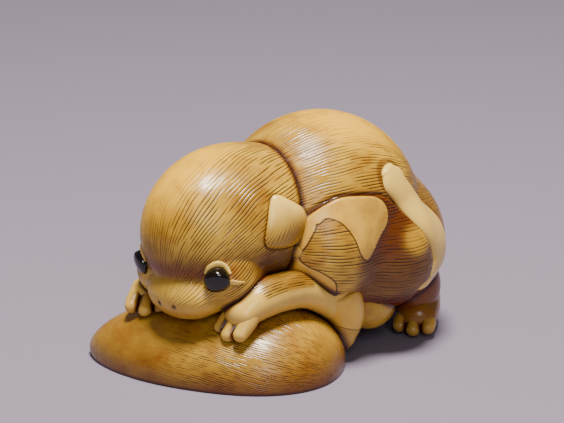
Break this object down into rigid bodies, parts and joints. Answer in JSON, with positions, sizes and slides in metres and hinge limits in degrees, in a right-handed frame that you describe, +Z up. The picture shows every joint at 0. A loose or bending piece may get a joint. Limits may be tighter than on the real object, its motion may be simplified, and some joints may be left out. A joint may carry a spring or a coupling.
{
  "type": "netsuke",
  "caption": "Ivory netsuke carved as a crouching puppy, chin and forepaws on an abalone shell, with inlaid dark horn eyes and cord holes underneath.",
  "frame": {"origin": "middle of the netsuke's bounding box, on the ground plane that the shell's flat underside and the hind feet rest on", "axes": "+Z up; the puppy looks along -Y, its left side is +X, and the length from shell to rump runs along Y"},
  "size_m": [0.0332, 0.0404, 0.0278],
  "materials": {
    "stained_ivory": "polished and stained ivory, satin, warm amber with cream high spots and dark brown stain in the engraved hair",
    "dark_horn": "polished dark buffalo horn, near black, high gloss"
  },
  "bodies": {
    "root": {"carving": "stained_ivory", "left_eye": "dark_horn", "right_eye": "dark_horn"}
  },
  "joints": []
}
